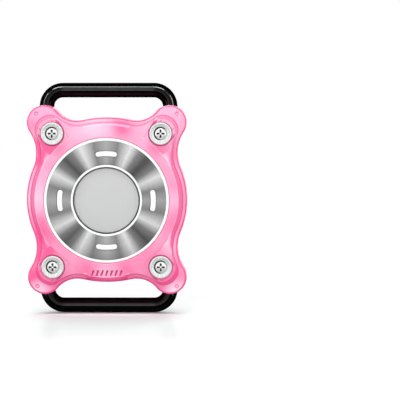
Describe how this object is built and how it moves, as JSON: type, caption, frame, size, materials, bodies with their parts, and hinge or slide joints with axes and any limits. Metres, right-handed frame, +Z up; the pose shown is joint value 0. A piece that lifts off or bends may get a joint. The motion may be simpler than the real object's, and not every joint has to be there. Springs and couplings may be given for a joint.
{
  "type": "tracker tag holder",
  "caption": "Flat case with lobed corners that holds a round tracker tag under a windowed steel ring, with two rod loops behind it for a flat strap.",
  "frame": {"origin": "under the middle of the lower loop, halfway through the whole thickness", "axes": "+Z up, from the lower loop to the upper one; the steel ring and the window face -Y, the medallion and the loops' screws face +Y; left and right are as seen from the front, so left is -X"},
  "size_m": [0.0464, 0.0142, 0.0677],
  "materials": {
    "shell_plastic": "glossy, slightly translucent moulded plastic",
    "white_plastic": "smooth white moulded plastic",
    "coloured_metal": "satin anodised disc with a polished bevel",
    "inlay_plastic": "moulded ring with a fine woven texture in slanted bars",
    "seal_rubber": "smooth",
    "insert_brass": "plain",
    "loop_coating": "thick gloss black coating",
    "plated_steel": "polished plating",
    "turned_steel": "turned, with fine circular lines",
    "clear_window": "clear and smooth",
    "tag_steel": "fine satin",
    "cell_steel": "plain nickel-plated",
    "board_laminate": "lacquered laminate"
  },
  "bodies": {
    "case": {"rear_shell": "shell_plastic", "rear_liner": "white_plastic", "medallion": "coloured_metal", "inlay_ring": "inlay_plastic", "accent_bars": "white_plastic", "case_seal": "seal_rubber", "cover_inserts": "insert_brass", "loop_inserts": "insert_brass"},
    "upper_loop": {"upper_loop": "loop_coating"},
    "lower_loop": {"lower_loop": "loop_coating"},
    "upper_left_loop_screw": {"upper_left_loop_screw": "plated_steel"},
    "upper_right_loop_screw": {"upper_right_loop_screw": "plated_steel"},
    "lower_left_loop_screw": {"lower_left_loop_screw": "plated_steel"},
    "lower_right_loop_screw": {"lower_right_loop_screw": "plated_steel"},
    "cover": {"front_cover": "shell_plastic", "front_liner": "white_plastic", "steel_ring": "turned_steel", "window_gasket": "seal_rubber", "window": "clear_window", "screw_cups": "plated_steel"},
    "upper_left_cover_screw": {"upper_left_cover_screw": "plated_steel"},
    "upper_right_cover_screw": {"upper_right_cover_screw": "plated_steel"},
    "lower_left_cover_screw": {"lower_left_cover_screw": "plated_steel"},
    "lower_right_cover_screw": {"lower_right_cover_screw": "plated_steel"},
    "tag": {"tag_housing": "white_plastic", "tag_board": "board_laminate", "tag_sounder": "cell_steel", "tag_contacts": "insert_brass", "tag_cell": "cell_steel"},
    "battery_cover": {"tag_battery_cover": "tag_steel"}
  },
  "joints": [
    {"name": "cover_lift", "type": "slide", "parent": "case", "child": "cover", "axis": [0, -1, 0], "range_m": [0, 0.03]},
    {"name": "tag_lift", "type": "slide", "parent": "case", "child": "tag", "axis": [0, -1, 0], "range_m": [0, 0.015]},
    {"name": "battery_cover_turn", "type": "hinge", "parent": "tag", "child": "battery_cover", "pos_m": [0, 0, 0.03385], "axis": [0, -1, 0], "range_deg": [0, 25]},
    {"name": "upper_loop_lift", "type": "slide", "parent": "case", "child": "upper_loop", "axis": [0, 1, 0], "range_m": [0, 0.008]},
    {"name": "lower_loop_lift", "type": "slide", "parent": "case", "child": "lower_loop", "axis": [0, 1, 0], "range_m": [0, 0.008]},
    {"name": "upper_left_cover_screw_turn", "type": "hinge", "parent": "cover", "child": "upper_left_cover_screw", "pos_m": [-0.0156, 0, 0.0531], "axis": [0, -1, 0], "continuous": true},
    {"name": "upper_right_cover_screw_turn", "type": "hinge", "parent": "cover", "child": "upper_right_cover_screw", "pos_m": [0.0156, 0, 0.0531], "axis": [0, -1, 0], "continuous": true},
    {"name": "lower_left_cover_screw_turn", "type": "hinge", "parent": "cover", "child": "lower_left_cover_screw", "pos_m": [-0.0156, 0, 0.0146], "axis": [0, -1, 0], "continuous": true},
    {"name": "lower_right_cover_screw_turn", "type": "hinge", "parent": "cover", "child": "lower_right_cover_screw", "pos_m": [0.0156, 0, 0.0146], "axis": [0, -1, 0], "continuous": true},
    {"name": "upper_left_loop_screw_turn", "type": "hinge", "parent": "upper_loop", "child": "upper_left_loop_screw", "pos_m": [-0.0181, 0, 0.05625], "axis": [0, 1, 0], "continuous": true},
    {"name": "upper_right_loop_screw_turn", "type": "hinge", "parent": "upper_loop", "child": "upper_right_loop_screw", "pos_m": [0.0181, 0, 0.05625], "axis": [0, 1, 0], "continuous": true},
    {"name": "lower_left_loop_screw_turn", "type": "hinge", "parent": "lower_loop", "child": "lower_left_loop_screw", "pos_m": [-0.0181, 0, 0.01145], "axis": [0, 1, 0], "continuous": true},
    {"name": "lower_right_loop_screw_turn", "type": "hinge", "parent": "lower_loop", "child": "lower_right_loop_screw", "pos_m": [0.0181, 0, 0.01145], "axis": [0, 1, 0], "continuous": true}
  ],
  "couplings": [
    {"joint": "tag_lift", "follows": "cover_lift", "ratio": 0.5}
  ]
}
